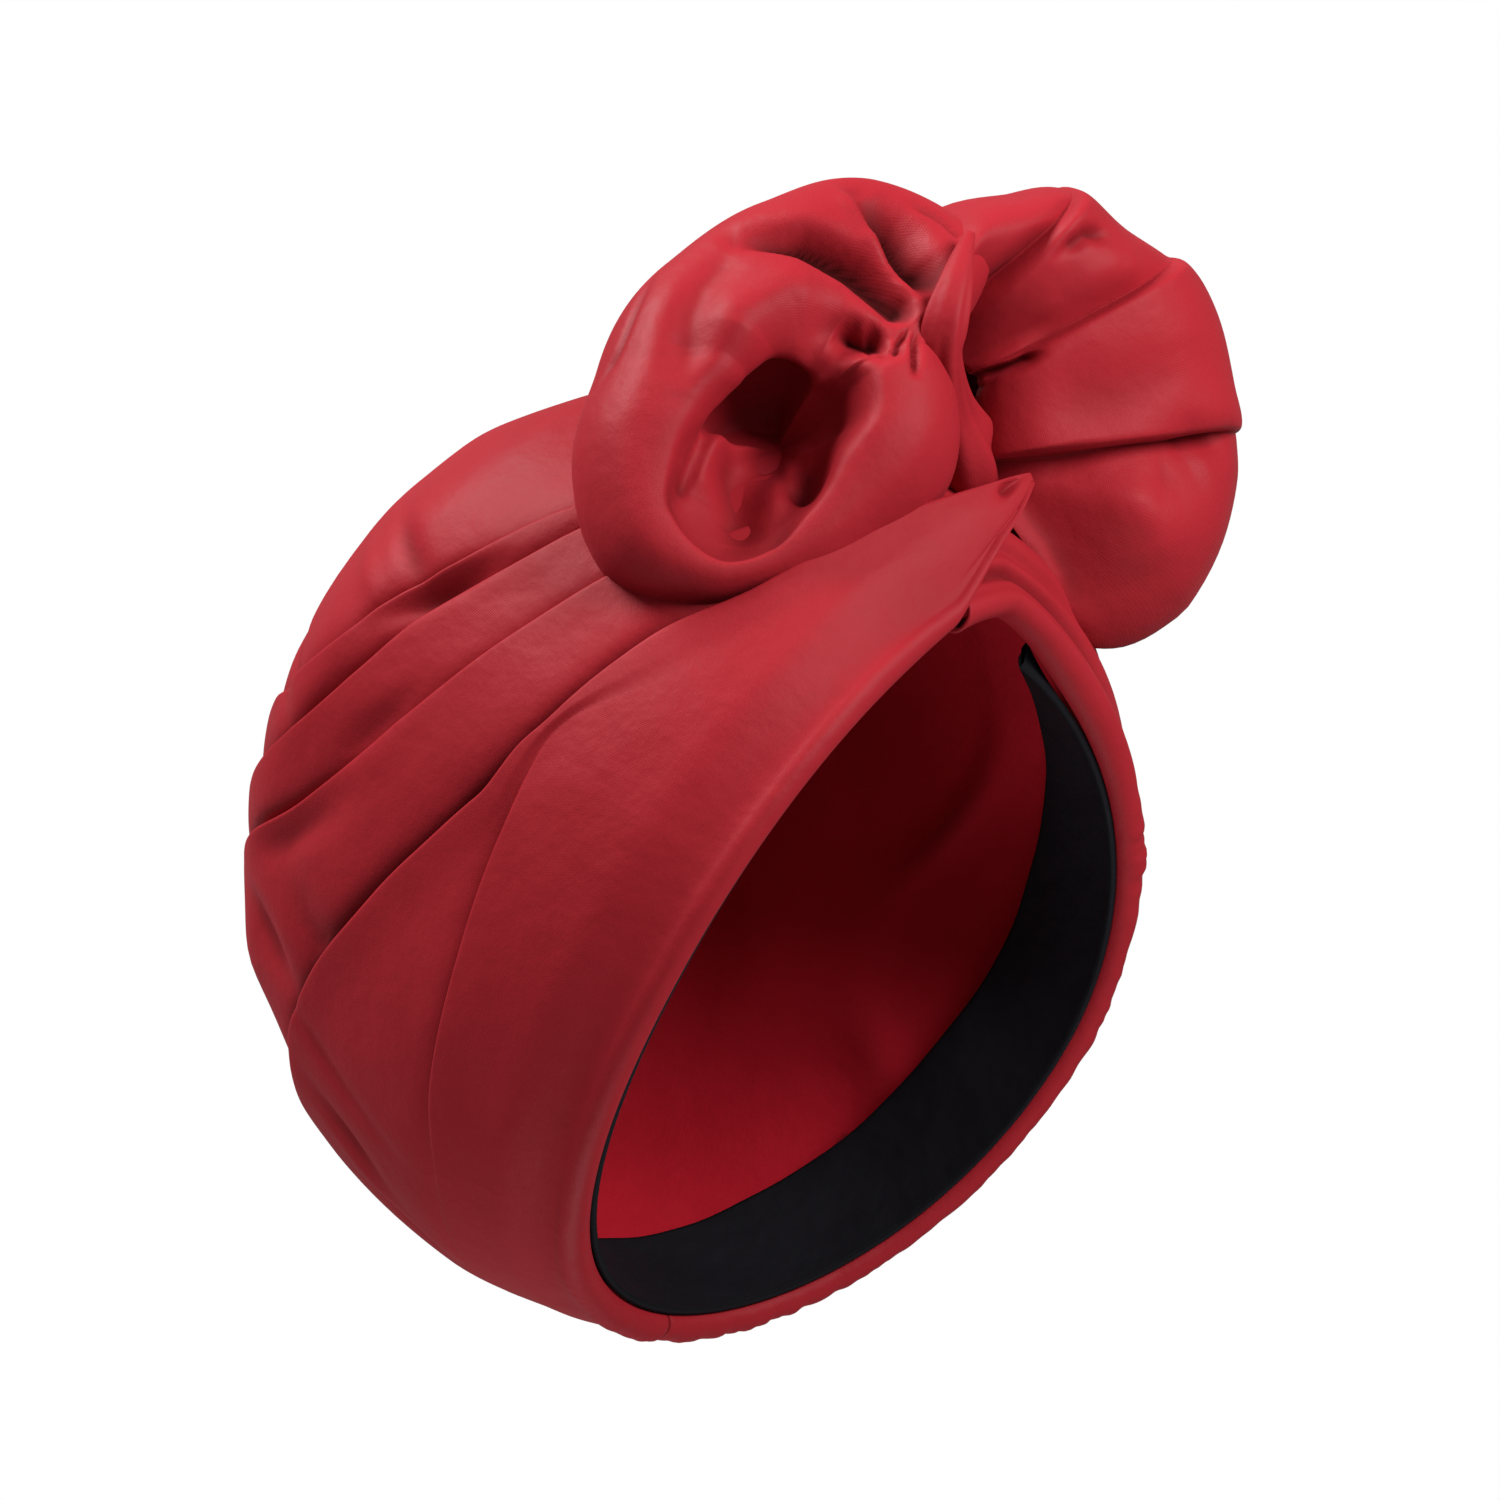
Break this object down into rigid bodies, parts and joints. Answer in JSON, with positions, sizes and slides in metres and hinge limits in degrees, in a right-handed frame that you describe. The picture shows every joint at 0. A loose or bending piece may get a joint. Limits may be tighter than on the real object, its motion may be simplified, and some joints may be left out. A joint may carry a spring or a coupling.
{
  "type": "turban headwrap",
  "caption": "Pre-tied turban headwrap: a hollow pleated cap with broad wrap bands, a black comfort band inside the rim and a puffed knot with an open loop and a fanned loop.",
  "frame": {"origin": "centre of the rim's oval, where a head carries the cap", "axes": "+Z to the crown, -Y to the forehead, +X to the wearer's left"},
  "size_m": [0.1982, 0.3164, 0.2021],
  "materials": {
    "satin": "deep red satin",
    "lining_satin": "thin red satin",
    "black_velvet": "short black pile"
  },
  "bodies": {
    "root": {"crown": "satin", "lining": "lining_satin", "inner_band": "black_velvet", "wrap_band_right": "satin", "wrap_band_left": "satin", "knot_twist": "satin", "knot_loop_right": "satin", "knot_loop_left": "satin"}
  },
  "joints": []
}
